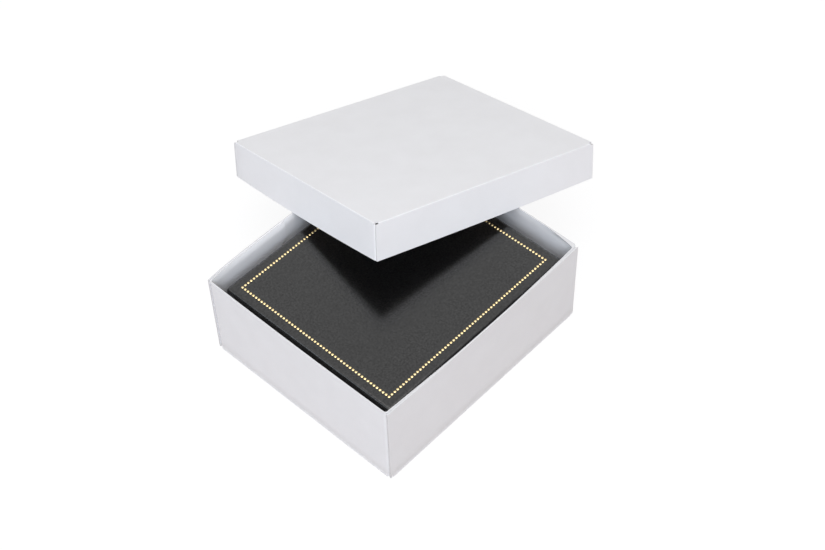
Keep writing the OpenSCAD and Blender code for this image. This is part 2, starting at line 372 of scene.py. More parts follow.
@dataclass(frozen=True)
class Leatherette(Finish):
    """Glossy black paper leather with a fine pressed grain."""

    name: str = "black_leatherette"
    # The grain's pits are painted darker than its crests: painted shade in the hollows of the grain.
    shaded_pit: Colour = (0.0004, 0.0004, 0.00045)
    lit_crest: Colour = (0.0012, 0.0012, 0.0014)
    grain: float = 0.5 * MM
    relief: float = 0.04 * MM
    wave: float = 7 * MM
    swell: float = 0.05 * MM
    roughness: float = 0.19
    gloss: float = 1.45
    lacquer: float = 0.62
    uneven: float = 1.75

    def paint(self, recipe: Recipe) -> None:
        """Adds the nodes of the finish."""
        pebbles = recipe.pebbles(self.grain)
        creases = recipe.noise(self.grain * 0.6, 3.0)
        waves = recipe.noise(self.wave, 1.0)
        skin = pebbles * 0.7 + creases * 0.3
        fine = recipe.bump(skin, self.relief, 0.5)
        recipe.surface(
            # Base colour follows the grain height: painted shade in the pits, lighter on the crests.
            Base_Color=recipe.blend(skin, self.shaded_pit, self.lit_crest),
            Roughness=self.roughness + 0.1 * (skin - 0.3),
            Coat_Weight=self.lacquer + self.uneven * (recipe.noise(1.2 * self.grain, 1.5) - 0.5),
            Normal=recipe.bump(waves, self.swell, 0.5, under=fine),
            Coat_Roughness=self.roughness,
            IOR=self.gloss,
        )


@dataclass(frozen=True)
class GoldFoil(Finish):
    """Hot-stamped gold foil."""

    name: str = "gold_foil"
    bright: Colour = (0.96, 0.77, 0.41)
    worn: Colour = (0.8, 0.585, 0.255)
    speck: float = 0.5 * MM
    relief: float = 0.01 * MM
    roughness: float = 0.32

    def paint(self, recipe: Recipe) -> None:
        """Adds the nodes of the finish."""
        specks = recipe.noise(self.speck, 3.0)
        recipe.surface(
            Base_Color=recipe.blend(recipe.ramp(specks, 0.45, 0.8), self.bright, self.worn),
            Metallic=1.0,
            Roughness=self.roughness + 0.2 * (specks - 0.5),
            Normal=recipe.bump(specks, self.relief, 0.4),
        )


@dataclass(frozen=True)
class Plating(Finish):
    """Sheet or wire metal with a fine drawn texture along X."""

    name: str
    bright: Colour
    dull: Colour
    roughness: float = 0.3
    grain: float = 0.25 * MM
    stretch: float = 0.06
    stain: float = 4 * MM
    relief: float = 0.01 * MM

    def paint(self, recipe: Recipe) -> None:
        """Adds the nodes of the finish."""
        drawn = recipe.noise(self.grain, 3.0, recipe.place((self.stretch, 1.0, 1.0)))
        stains = recipe.ramp(recipe.noise(self.stain, 2.0), 0.4, 0.8)
        recipe.surface(
            Base_Color=recipe.blend(stains, self.bright, self.dull),
            Metallic=1.0,
            Roughness=self.roughness + 0.2 * (drawn - 0.5),
            Normal=recipe.bump(drawn, self.relief, 0.5),
        )


@dataclass(frozen=True)
class MouldedPlastic(Finish):
    """Black moulded plastic with a spark-eroded texture."""

    name: str = "moulded_plastic"
    low: Colour = (0.018, 0.018, 0.019)
    high: Colour = (0.03, 0.03, 0.031)
    texture: float = 0.3 * MM
    relief: float = 0.02 * MM
    roughness: float = 0.42

    def paint(self, recipe: Recipe) -> None:
        """Adds the nodes of the finish."""
        sparks = recipe.noise(self.texture, 4.0)
        recipe.surface(
            Base_Color=recipe.blend(sparks, self.low, self.high),
            Roughness=self.roughness + 0.2 * (sparks - 0.5),
            Normal=recipe.bump(sparks, self.relief, 0.5),
        )


@dataclass(frozen=True)
class PileVelvet(Finish):
    """Short black pile that lies one way or the other in soft patches."""

    name: str = "pile_velvet"
    nap: Colour = (0.006, 0.006, 0.0065)
    brushed: Colour = (0.016, 0.016, 0.0175)
    tuft: float = 0.22 * MM
    patch: float = 11 * MM
    relief: float = 0.12 * MM
    roughness: float = 0.95
    sheen: float = 0.55
    sheen_roughness: float = 0.35
    sheen_tint: Colour = (0.5, 0.5, 0.54)

    def paint(self, recipe: Recipe) -> None:
        """Adds the nodes of the finish."""
        tufts = recipe.noise(self.tuft, 2.0)
        patches = recipe.ramp(recipe.noise(self.patch, 3.0), 0.38, 0.66)
        recipe.surface(
            Base_Color=recipe.blend(patches * 0.7 + tufts * 0.3, self.nap, self.brushed),
            Roughness=self.roughness - 0.1 * patches,
            Normal=recipe.bump(tufts, self.relief, 0.7),
            Sheen_Weight=self.sheen,
            Sheen_Roughness=self.sheen_roughness,
            Sheen_Tint=(*self.sheen_tint, 1.0),
        )


@dataclass(frozen=True)
class IvorySatin(Finish):
    """Ivory satin: long floats along X over a fine ground weave."""

    name: str = "ivory_satin"
    light: Colour = (0.83, 0.8, 0.73)
    deep: Colour = (0.72, 0.68, 0.6)
    thread: float = 0.28 * MM
    float_length: float = 1.6 * MM
    wrinkle: float = 14 * MM
    relief: float = 0.05 * MM
    roughness: float = 0.3
    sheen: float = 0.3

    def paint(self, recipe: Recipe) -> None:
        """Adds the nodes of the finish."""
        along = self.thread / self.float_length
        floats = recipe.noise(self.thread, 1.0, recipe.place((along, 1.0, 1.0)))
        wrinkles = recipe.noise(self.wrinkle, 2.0)
        recipe.surface(
            Base_Color=recipe.blend(floats * 0.6 + wrinkles * 0.4, self.light, self.deep),
            Roughness=self.roughness + 0.25 * floats,
            Normal=recipe.bump(floats, self.relief, 0.5),
            Sheen_Weight=self.sheen,
            Sheen_Roughness=self.roughness,
        )


@dataclass(frozen=True)
class Fibrous(Finish):
    """Plain fibrous or cellular stuff: grey board, foam or wadding."""

    name: str
    light: Colour
    dark: Colour
    grain: float
    relief: float
    roughness: float = 0.88

    def paint(self, recipe: Recipe) -> None:
        """Adds the nodes of the finish."""
        fibres = recipe.noise(self.grain, 5.0)
        cells = recipe.pebbles(self.grain * 1.5)
        share = recipe.ramp(fibres * 0.6 + cells * 0.4, 0.25, 0.7)
        recipe.surface(
            Base_Color=recipe.blend(share, self.light, self.dark),
            Roughness=self.roughness + 0.1 * (fibres - 0.5),
            Normal=recipe.bump(fibres + cells, self.relief, 0.7),
        )


class Dressing:
    """All finishes, each made once."""

    def __init__(self) -> None:
        """Makes the materials."""
        brass = ((0.8, 0.61, 0.29), (0.62, 0.45, 0.2))
        steel = ((0.66, 0.67, 0.69), (0.5, 0.51, 0.53))
        self.board = CoatedBoard().make()
        self.cut_edge = CutEdge().make()
        self.leatherette = Leatherette().make()
        self.gold = GoldFoil().make()
        self.plastic = MouldedPlastic().make()
        self.velvet = PileVelvet().make()
        self.satin = IvorySatin().make()
        self.brass = Plating("plated_brass", *brass).make()
        self.steel = Plating("spring_steel", *steel, roughness=0.24).make()
        grey = ((0.5, 0.47, 0.42), (0.36, 0.335, 0.3))
        cream = ((0.82, 0.79, 0.7), (0.7, 0.66, 0.56))
        white = ((0.85, 0.84, 0.81), (0.76, 0.75, 0.72))
        self.grey_board = Fibrous("grey_board", *grey, 0.6 * MM, 0.04 * MM).make()
        self.foam = Fibrous("cream_foam", *cream, 0.5 * MM, 0.2 * MM).make()
        self.wadding = Fibrous("white_wadding", *white, 0.8 * MM, 0.25 * MM).make()


class Shape:
    """A mesh under construction."""

    corner_flats = 6
    tightest = 0.3 * MM
    merge_reach = 0.001 * MM
    cut_reach = 0.0001 * MM

    def __init__(self) -> None:
        """Starts with an empty mesh."""
        self.bm = bmesh.new()

    def everything(self) -> list[Any]:
        """All vertices, edges and faces."""
        return [*self.bm.verts, *self.bm.edges, *self.bm.faces]

    def plate(self, width: float, depth: float, height: float = 0.0) -> BMFace:
        """Adds a flat rectangle.

        Args:
            width: Size along X.
            depth: Size along Y.
            height: Its level.

        Returns:
            The new face, which points up.
        """
        made = bmesh.ops.create_grid(self.bm, x_segments=1, y_segments=1, size=0.5)
        move = Matrix.Translation((0.0, 0.0, height)) @ Matrix.Diagonal((width, depth, 1.0, 1.0))
        bmesh.ops.transform(self.bm, matrix=move, verts=made["verts"])
        return made["verts"][0].link_faces[0]

    def cut(self, axis: int, places: Iterable[float]) -> None:
        """Cuts through the whole mesh, square to an axis.

        Args:
            axis: 0, 1 or 2 for X, Y or Z.
            places: Where the cuts lie on that axis.
        """
        normal = Vector((0.0, 0.0, 0.0))
        normal[axis] = 1.0
        for place in places:
            bmesh.ops.bisect_plane(
                self.bm, geom=self.everything(), dist=self.cut_reach, plane_co=normal * place, plane_no=normal
            )

    def edges_where(self, test: Callable[[Vector, Vector], bool]) -> list[BMEdge]:
        """Finds edges by their middle and direction.

        Args:
            test: Takes the middle and the unit direction of an edge.

        Returns:
            The edges that pass.
        """
        found = []
        for edge in self.bm.edges:
            start, end = (vert.co for vert in edge.verts)
            if test((start + end) / 2, (end - start).normalized()):
                found.append(edge)
        return found

    def pull(self, edges: list[BMEdge], step: Vector) -> list[BMEdge]:
        """Extrudes edges.

        Args:
            edges: Edges to pull a strip from.
            step: How far.

        Returns:
            The far edges of the strip.
        """
        made = bmesh.ops.extrude_edge_only(self.bm, edges=edges)["geom"]
        far = {item for item in made if isinstance(item, BMVert)}
        bmesh.ops.translate(self.bm, vec=step, verts=list(far))
        return [edge for edge in self.bm.edges if set(edge.verts) <= far]

    def move(self, matrix: Matrix) -> None:
        """Moves the whole mesh."""
        bmesh.ops.transform(self.bm, matrix=matrix, verts=self.bm.verts)

    def round(self, edges: list[BMEdge], radius: float, segments: int) -> list[BMFace]:
        """Rounds edges.

        Args:
            edges: Edges to round.
            radius: Radius of the round.
            segments: Number of flats that make it.

        Returns:
            The new faces.
        """
        made = bmesh.ops.bevel(
            self.bm, geom=edges, offset=radius, offset_type="OFFSET", segments=segments,
            profile=0.5, affect="EDGES", clamp_overlap=True, material=-1,
        )
        return made["faces"]

    def loop(self, width: float, depth: float, radius: float, height: float) -> list[BMEdge]:
        """Adds a rectangle of edges with round corners.

        Args:
            width: Size along X.
            depth: Size along Y.
            radius: Radius of the corners.
            height: Its level.

        Returns:
            The edges of the loop.
        """
        known = set(self.bm.faces)
        face = self.plate(width, depth, height)
        bmesh.ops.bevel(
            self.bm, geom=list(face.verts), offset=radius, offset_type="OFFSET",
            segments=self.corner_flats, profile=0.5, affect="VERTICES", material=-1,
        )
        face = next(iter(set(self.bm.faces) - known))
        edges = list(face.edges)
        bmesh.ops.delete(self.bm, geom=[face], context="FACES_ONLY")
        return edges

    def loft(
        self, width: float, depth: float, radius: float, profile: Profile, closed: bool = False
    ) -> list[list[BMEdge]]:
        """Bridges a row of rounded rectangles.

        Args:
            width: Size of the outermost rectangle along X.
            depth: Its size along Y.
            radius: Radius of its corners.
            profile: How far each rectangle is drawn in, and its level.
            closed: Whether the last one is joined to the first.

        Returns:
            The loops.
        """
        loops = [
            self.loop(width - 2 * inset, depth - 2 * inset, max(radius - inset, self.tightest), level)
            for inset, level in profile
        ]
        for first, second in zip(loops, loops[1:] + loops[:1] if closed else loops[1:]):
            bmesh.ops.bridge_loops(self.bm, edges=first + second)
        return loops

    def fill(self, edges: list[BMEdge]) -> None:
        """Closes a loop of edges with one face."""
        bmesh.ops.contextual_create(self.bm, geom=edges)

    def face_out(self, up: bool = True) -> None:
        """Makes all faces point outwards.

        Args:
            up: Whether the highest face of the shape looks up, or the lowest one looks down.
        """
        bmesh.ops.recalc_face_normals(self.bm, faces=self.bm.faces)
        self.bm.normal_update()
        pick = max if up else min
        face = pick(self.bm.faces, key=lambda item: (item.calc_center_median().z, item.calc_area()))
        if (face.normal.z > 0.0) != up:
            bmesh.ops.reverse_faces(self.bm, faces=self.bm.faces)

    def thicken(
        self, thickness: float, edge_material: int = 0, edge_round: float = 0.0,
        lift: Callable[[Vector], Vector] | None = None,
    ) -> None:
        """Gives a sheet its thickness, away from the side that it shows.

        Args:
            thickness: Thickness of the sheet.
            edge_material: Material number of its cut edges.
            edge_round: Small chamfer on the cut edges.
            lift: How far a point of the hidden side stands off, or None.
        """
        shown = set(self.bm.verts)
        bmesh.ops.solidify(self.bm, geom=self.bm.faces[:], thickness=thickness)
        if lift:
            hidden = [vert for vert in self.bm.verts if vert not in shown]
            for vert in hidden:
                vert.co += lift(vert.co)
            bmesh.ops.remove_doubles(self.bm, verts=hidden, dist=self.merge_reach)
        rim = [face for face in self.bm.faces if len({vert in shown for vert in face.verts}) == 2]
        for face in rim:
            face.material_index = edge_material
        if edge_round > 0.0:
            rim_set = set(rim)
            borders = [
                edge for face in rim for edge in face.edges
                if sum(side in rim_set for side in edge.link_faces) == 1
            ]
            for face in self.round(borders, edge_round, 1):
                face.material_index = edge_material

    def finish(self, name: str, materials: list[Material], sharp: float = 35.0) -> Object:
        """Turns the shape into an object at the origin.

        Args:
            name: Name of the object.
            materials: Its material slots.
            sharp: Angle in degrees above which an edge stays sharp.

        Returns:
            The linked object.
        """
        self.bm.normal_update()
        for face in self.bm.faces:
            face.smooth = True
        for edge in self.bm.edges:
            edge.smooth = edge.is_manifold and edge.calc_face_angle(math.pi) < math.radians(sharp)
        mesh = bpy.data.meshes.new(name)
        self.bm.to_mesh(mesh)
        self.bm.free()
        for material in materials:
            mesh.materials.append(material)
        made = bpy.data.objects.new(name, mesh)
        bpy.context.scene.collection.objects.link(made)
        return made


class Body(Enum):
    """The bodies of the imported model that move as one."""

    TRAY = "tray"
    CARTON_TOP = "carton_top"
    BASE = "jewel_base"
    CAP = "jewel_cap"


def install(piece: Object, body: Body, node: str) -> Object:
    """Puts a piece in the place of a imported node.

    Args:
        piece: The modelled piece.
        body: Body that it moves with.
        node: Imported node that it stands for.

    Returns:
        The piece.
    """
    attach(piece, body.value)
    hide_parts(node)
    LOG.info("%s stands for %s on %s", piece.name, node, body.value)
    return piece


@dataclass(frozen=True)
class Lean:
    """How far the four walls of a carton lean out at their open edge."""

    front: float = 0.0
    back: float = 0.0
    left: float = 0.0
    right: float = 0.0


@dataclass
class FoldedBlank:
    """A tray of folding board, open upwards.

    The left and right walls turn in at their ends and carry on as glue tabs, which lie inside the
    front and back walls. The vertices stay open where the folds meet.
    """

    width: float
    depth: float
    height: float
    board: float = 0.5 * MM
    fold: float = 0.25 * MM
    turn: float = 0.8 * MM
    setback: float = 0.1 * MM
    relief: float = 1.4 * MM
    tab_start: float = 0.55 * MM
    tab_slope: float = 40.0
    tab_drop: float = 1.2 * MM
    gape: float = 0.1 * MM
    lip_reach: float = 2.5 * MM
    lifted: float = 0.0
    lifted_reach: float = 11 * MM
    crease: float = 1.25 * MM
    crease_depth: float = 0.05 * MM
    crease_width: float = 0.3 * MM
    edge_round: float = 0.06 * MM
    step: float = 6 * MM
    least_levels: int = 4
    lip_cuts: int = 4
    bow_power: float = 1.3
    lip_power: int = 8
    wall_share: float = 0.99
    turn_flats: int = 6
    fold_flats: int = 4
    bow: Lean = field(default_factory=Lean)
    lip: Lean = field(default_factory=Lean)

    @property
    def near(self) -> float:
        """How close a point lies to a place that it belongs to."""
        return self.board / 10

    @property
    def half(self) -> tuple[float, float]:
        """Half the width and half the depth."""
        return self.width / 2, self.depth / 2

    @property
    def front_end(self) -> float:
        """Where the fold under the front wall ends, from the middle."""
        return self.width / 2 - self.relief

    @property
    def side_end(self) -> float:
        """Where the fold under a side wall ends, from the middle."""
        return self.depth / 2 - self.board - self.edge_round - self.turn

    def sheet(self) -> Shape:
        """Folds the outer face of the blank.

        Returns:
            The open sheet, not yet thick.
        """
        shape = Shape()
        shape.plate(self.width, self.depth)
        shape.cut(0, (-self.front_end, self.front_end))
        shape.cut(1, (-self.side_end, self.side_end))
        middles = {face: face.calc_center_median() for face in shape.bm.faces}
        corners = [
            face for face, mid in middles.items()
            if abs(mid.x) > self.front_end and abs(mid.y) > self.side_end
        ]
        bmesh.ops.delete(shape.bm, geom=corners, context="FACES")
        self._raise_walls(shape)
        for side_x in (-1, 1):
            for side_y in (-1, 1):
                self._close_corner(shape, side_x, side_y)
        self._round_folds(shape)
        return shape

    def _raise_walls(self, shape: Shape) -> None:
        """Pulls the four walls up from the floor."""
        rise = Vector((0.0, 0.0, self.height))
        for axis, half in enumerate(self.half):
            for side in (-1, 1):
                foot = shape.edges_where(
                    lambda mid, way: abs(mid[axis] - side * half) < self.near and mid.z < self.near
                )
                shape.pull(foot, rise)
        shape.cut(2, (self.tab_start,))

    def _close_corner(self, shape: Shape, side_x: int, side_y: int) -> None:
        """Carries the front or back wall out to the corner and turns the side wall in behind it.

        Args:
            shape: The sheet.
            side_x: 1 at the right, -1 at the left.
            side_y: 1 at the back, -1 at the front.
        """
        half_w, half_d = self.half
        cut = self._upright(shape, Vector((side_x * self.front_end, side_y * half_d, 0.0)))
        shape.pull(cut, Vector((side_x * (half_w - self.setback - self.front_end), 0.0, 0.0)))
        edge = self._upright(shape, Vector((side_x * half_w, side_y * self.side_end, 0.0)))
        self._open_top(edge, side_y)
        for k in range(self.turn_flats):
            first, last = (math.pi / 2 * n / self.turn_flats for n in (k, k + 1))
            step_x = side_x * self.turn * (math.cos(last) - math.cos(first))
            step_y = side_y * self.turn * (math.sin(last) - math.sin(first))
            edge = shape.pull(edge, Vector((step_x, step_y, 0.0)))
        reach = self.height - self.tab_start - self.turn
        edge = shape.pull(edge, Vector((-side_x * reach, 0.0, 0.0)))
        ends = sorted({vert for part in edge for vert in part.verts}, key=lambda vert: vert.co.z)
        ends[0].co.z += reach * math.tan(math.radians(self.tab_slope))
        ends[-1].co += Vector((0.0, side_y * self.gape, -self.tab_drop if side_y < 0 else 0.0))

    def _upright(self, shape: Shape, place: Vector) -> list[BMEdge]:
        """The upright edges over a place in plan, above the tabs' lower end."""
        return shape.edges_where(
            lambda mid, way: abs(way.z) > STEEP and mid.z > self.tab_start
            and abs(mid.x - place.x) < self.near and abs(mid.y - place.y) < self.near
        )

    def _open_top(self, edge: list[BMEdge], side_y: int) -> None:
        """Lets the side wall's turn stand off the front or back wall at its top."""
        top = max((vert for part in edge for vert in part.verts), key=lambda vert: vert.co.z)
        top.co.y -= side_y * self.gape

    def _round_folds(self, shape: Shape) -> None:
        """Rounds the folds under the walls."""
        half_w, half_d = self.half
        floor = shape.edges_where(
            lambda mid, way: mid.z < self.near and abs(way.z) < LEVEL
            and (
                (abs(abs(mid.x) - half_w) < self.near and abs(mid.y) < self.side_end)
                or (abs(abs(mid.y) - half_d) < self.near and abs(mid.x) < self.front_end)
            )
        )
        shape.round(floor, self.fold, self.fold_flats)
        inset = self.fold + self.edge_round
        shape.cut(0, (inset - half_w, half_w - inset))
        shape.cut(1, (inset - half_d, half_d - inset))
        shape.cut(2, (inset,))

    def _spread(self, point: Vector) -> Vector:
        """Bows a point of the walls, spreads their lips and presses the score line above the folds.

        Args:
            point: A point of the sheet.

        Returns:
            How far it moves.
        """
        u, v = 2 * point.x / self.width, 2 * point.y / self.depth
        rise = max(0.0, (point.z - self.fold) / (self.height - self.fold)) ** self.bow_power
        lip = max(0.0, (point.z - self.height) / self.lip_reach + 1.0) ** 2
        side_bow, side_lip = (lean.right if u > 0 else lean.left for lean in (self.bow, self.lip))
        end_bow, end_lip = (lean.back if v > 0 else lean.front for lean in (self.bow, self.lip))
        out_x = u * (side_bow * rise * (1 - v * v) + side_lip * lip * (1 - v ** self.lip_power))
        out_y = v * (end_bow * rise * (1 - u * u) + end_lip * lip * (1 - u ** self.lip_power))
        if abs(point.z - self.crease) < self.crease_width / 4:
            out_x -= math.copysign(self.crease_depth, u) if abs(u) > self.wall_share else 0.0
            out_y -= math.copysign(self.crease_depth, v) if abs(v) > self.wall_share else 0.0
        return Vector((out_x, out_y, 0.0))

    def _lift(self, point: Vector) -> Vector:
        """Lets the board's inner ply stand off the right wall's rim, by the front corner.

        Args:
            point: A point of the inner side.

        Returns:
            How far it moves.
        """
        along = 1.0 - (point.y + self.depth / 2) / self.lifted_reach
        up = (point.z - self.height) / (self.lip_reach / 2) + 1.0
        at_wall = point.x > self.width / 2 - 3 * self.board
        share = max(0.0, along) * max(0.0, up) if at_wall else 0.0
        return Vector((-self.lifted * share, 0.0, 0.0)) + self._tuck(point)

    def _tuck(self, point: Vector) -> Vector:
        """Draws a point of the inner side out of the fold, to where floor and wall meet.

        Args:
            point: A point of the inner side.

        Returns:
            How far it moves.
        """
        if point.z > self.board + self.edge_round / 2:
            return Vector()
        reach = (self.width / 2 - self.board, self.depth / 2 - self.board)
        inner = [math.copysign(min(abs(value), limit), value) for value, limit in zip(point, reach)]
        return Vector((*inner, max(point.z, self.board))) - point

    def build(self) -> Shape:
        """Folds, bows and thickens the blank.

        Returns:
            The shape, with material 0 on its faces and 1 on its cut edges.
        """
        shape = self.sheet()
        for axis, size in ((0, self.width), (1, self.depth)):
            count = round(size / self.step)
            shape.cut(axis, (size * (k / count - 0.5) for k in range(1, count)))
        levels = max(self.least_levels, round(self.height / self.step))
        shape.cut(2, (self.height * k / levels for k in range(1, levels)))
        shape.cut(2, (self.crease + k * self.crease_width / 2 for k in (-1, 0, 1)))
        shape.cut(2, (self.height - self.lip_reach * k / self.lip_cuts for k in range(1, self.lip_cuts + 1)))
        for vert in shape.bm.verts:
            vert.co += self._spread(vert.co)
        shape.face_out(up=False)
        shape.thicken(self.board, edge_material=1, edge_round=self.edge_round, lift=self._lift)
        return shape


@dataclass
class Carton:
    """The folding carton: a tray on the table and a lid that props on its back corner."""

    lid_height: float = 13.4 * MM
    lid_play: float = 0.55 * MM
    board: float = 0.5 * MM
    prop_u: float = 49.0 * MM
    prop_v: float = 51.4 * MM
    rest_u: float = 58.6 * MM
    prop_gap: float = 0.25 * MM
    tray_bow: Lean = Lean(front=0.5 * MM, back=0.2 * MM, left=0.3 * MM, right=0.2 * MM)
    tray_lip: Lean = Lean(back=0.7 * MM, right=0.2 * MM)
    tray_lifted: float = 1.3 * MM
    tray_turn: float = 1.2 * MM
    lid_turn: float = 0.5 * MM
    lid_bow: Lean = Lean(front=0.6 * MM, back=0.9 * MM, left=0.9 * MM, right=0.5 * MM)

    def tray(self, dressing: Dressing) -> Object:
        """Builds the tray in the place of its node."""
        low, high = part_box("carton_tray")
        size = high - low
        blank = FoldedBlank(
            size.x, size.y, size.z, board=self.board, turn=self.tray_turn,
            bow=self.tray_bow, lip=self.tray_lip, lifted=self.tray_lifted,
        )
        piece = blank.build().finish("carton_tray_board", [dressing.board, dressing.cut_edge])
        return install(piece, Body.TRAY, "carton_tray")

    def lid_pose(self) -> Matrix:
        """Pose of the lid on its three rests.

        Its underside lies on the tray's back corner, its left wall on the back rim and its
        front wall on the right rim. Seen from the lid, the two rims leave that corner at a right
        angle, which fixes the third rest.

        Returns:
            From the lid's own frame, at its inner faces, to the frame of the model.
        """
        drop = self.lid_height - self.board
        rest_v = self.prop_v + (drop * drop - self.prop_u * (self.rest_u - self.prop_u)) / self.prop_v
        axis_x = -Vector((-self.prop_u, rest_v - self.prop_v, -drop)).normalized()
        axis_y = -Vector((self.rest_u - self.prop_u, -self.prop_v, -drop)).normalized()
        turn = Matrix((axis_x, axis_y, axis_x.cross(axis_y))).to_4x4()
        low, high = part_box("carton_tray")
        corner = Matrix.Translation((high.x, high.y, high.z + self.prop_gap))
        return corner @ turn @ Matrix.Translation((-self.prop_u, -self.prop_v, 0.0))

    def lid(self, dressing: Dressing) -> Object:
        """Builds the lid, open side down, where it props on the tray."""
        low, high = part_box("carton_tray")
        grow = 2 * (self.lid_play + self.board)
        width, depth = high.x - low.x + grow, high.y - low.y + grow
        blank = FoldedBlank(
            width, depth, self.lid_height, board=self.board, turn=self.lid_turn, crease_depth=0.0,
            bow=self._turned(self.lid_bow),
        )
        shape = blank.build()
        middle = Matrix.Translation((width / 2 - self.board, depth / 2 - self.board, self.board))
        shape.move(self.lid_pose() @ middle @ Matrix.Rotation(math.pi, 4, "X"))
        piece = shape.finish("carton_lid_board", [dressing.board, dressing.cut_edge])
        return install(piece, Body.CARTON_TOP, "carton_lid")

    @staticmethod
    def _turned(lean: Lean) -> Lean:
        """The same lean for a blank that is turned over about X."""
        return Lean(front=lean.back, back=lean.front, left=lean.left, right=lean.right)


@dataclass
class JewelBox:
    """The hinged inner box: its covering, gold border and collar."""

    cover: float = 0.4 * MM
    shell: float = 1.6 * MM
    soft: float = 1.6 * MM
    soft_flats: int = 8
    rim_round: float = 0.35 * MM
    rim_flats: int = 3
    rim_turn: float = 4 * MM
    bottom_turn: float = 9 * MM
    hinge_length: float = 46 * MM
    hinge_room: float = 0.15 * MM
    knuckle: float = 2.4 * MM
    collar: float = 0.8 * MM
    collar_flats: int = 6
    dot: float = 0.86 * MM
    dot_pitch: float = 1.29 * MM
    dot_rise: float = 0.12 * MM
    dot_sharp: float = 80.0
    dot_sides: int = 12
    dot_rings: int = 6
    border_inset: float = 4.2 * MM

    def _middle(self) -> Matrix:
        """Move from the origin to the middle of the box, in plan."""
        low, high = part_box("cap_cover")
        return Matrix.Translation(((low.x + high.x) / 2, (low.y + high.y) / 2, 0.0))

    @staticmethod
    def _arc(inset: float, level: float, radius: float, turns: tuple[float, float], steps: int) -> Profile:
        """Points of a round in a profile.

        Args:
            inset: Inset of the round's centre.
            level: Level of its centre.
            radius: Its radius.
            turns: First and last angle in degrees; 180 points outwards and 90 up.
            steps: Number of flats.

        Returns:
            Inset and level of each point.
        """
        first, last = (math.radians(angle) for angle in turns)
        angles = [first + (last - first) * k / steps for k in range(steps + 1)]
        return [(inset + radius * math.cos(angle), level + radius * math.sin(angle)) for angle in angles]

    def _rim(self, rim: float, inwards: int) -> Profile:
        """Profile of the turned-in rim, from the lip inside to the outer wall.

        Args:
            rim: Level of the rim.
            inwards: 1 where the half lies above its rim, -1 where it lies below.

        Returns:
            Inset and level of each point.
        """
        lip = self.cover + self.shell + self.cover
        r = self.rim_round
        centre = rim + inwards * r
        inner = self._arc(lip - r, centre, r, (0.0, -inwards * 90.0), self.rim_flats)
        outer = self._arc(r, centre, r, (-inwards * 90.0, -inwards * 180.0), self.rim_flats)
        return [(lip, rim + inwards * self.rim_turn), *inner, *outer]

    def _clear_hinge(self, shape: Shape, rim: float, inwards: int) -> None:
        """Cuts the hinge's notch out of the back wall and the leaf's window out of the lip.

        Args:
            shape: The covering as a sheet about the box's middle.
            rim: Level of the rim.
            inwards: 1 where the half lies above its rim, -1 where it lies below.
        """
        low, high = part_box("cap_cover")
        back = (high.y - low.y) / 2
        half = self.hinge_length / 2 + self.hinge_room
        notch = self.knuckle / 2 + self.hinge_room
        wall = back - self.shell / 2
        shape.cut(0, (-half, half))
        shape.cut(1, (wall,))
        shape.cut(2, (rim + inwards * notch,))
        doomed = []
        for face in shape.bm.faces:
            mid = face.calc_center_median()
            depth = (mid.z - rim) * inwards
            at_hinge = abs(mid.x) < half and mid.y > back - 3 * self.shell and depth < self.rim_turn
            if at_hinge and (mid.y < wall or depth < notch):
                doomed.append(face)
        bmesh.ops.delete(shape.bm, geom=doomed, context="FACES")

    def cap_covering(self, dressing: Dressing) -> Object:
        """Builds the covering of the upper half, with softly rounded top edges."""
        low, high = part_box("cap_cover")
        shape = Shape()
        top = self._arc(self.soft, high.z - self.soft, self.soft, (180.0, 90.0), self.soft_flats)
        loops = shape.loft(high.x - low.x, high.y - low.y, self.soft, [*self._rim(low.z, 1), *top])
        self._clear_hinge(shape, low.z, 1)
        shape.fill([edge for edge in loops[-1] if edge.is_valid])
        shape.face_out()
        shape.thicken(self.cover)
        shape.move(self._middle())
        piece = shape.finish("cap_leatherette", [dressing.leatherette])
        return install(piece, Body.CAP, "cap_cover")

    def base_covering(self, dressing: Dressing) -> Object:
        """Builds the covering of the lower half, turned in under the bottom."""
        low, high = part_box("base_cover")
        r = self.rim_round
        shape = Shape()
        foot = self._arc(r, low.z + r, r, (180.0, 270.0), self.rim_flats)
        flange = (self.cover + self.bottom_turn, low.z)
        profile = [*self._rim(high.z, -1), *foot, flange]
        shape.loft(high.x - low.x, high.y - low.y, self.soft, profile)
        self._clear_hinge(shape, high.z, -1)
        shape.face_out(up=False)
        shape.thicken(self.cover)
        shape.move(self._middle())
        piece = shape.finish("base_leatherette", [dressing.leatherette])
        return install(piece, Body.BASE, "base_cover")

    def collar_lining(self, dressing: Dressing) -> Object:
        """Builds the collar with its soft top edge."""
        low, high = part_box("base_collar")
        outer_low, outer_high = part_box("cap_cover")
        inset = low.x - outer_low.x
        r = self.collar / 2
        shape = Shape()
        crown = self._arc(inset + r, high.z - r, r, (180.0, 0.0), self.collar_flats)
        profile = [(inset, low.z), *crown, (inset + self.collar, low.z)]
        width, depth = outer_high.x - outer_low.x, outer_high.y - outer_low.y
        shape.loft(width, depth, self.soft, profile, closed=True)
        shape.face_out()
        shape.move(self._middle())
        piece = shape.finish("collar_lining", [dressing.velvet])
        return install(piece, Body.BASE, "base_collar")

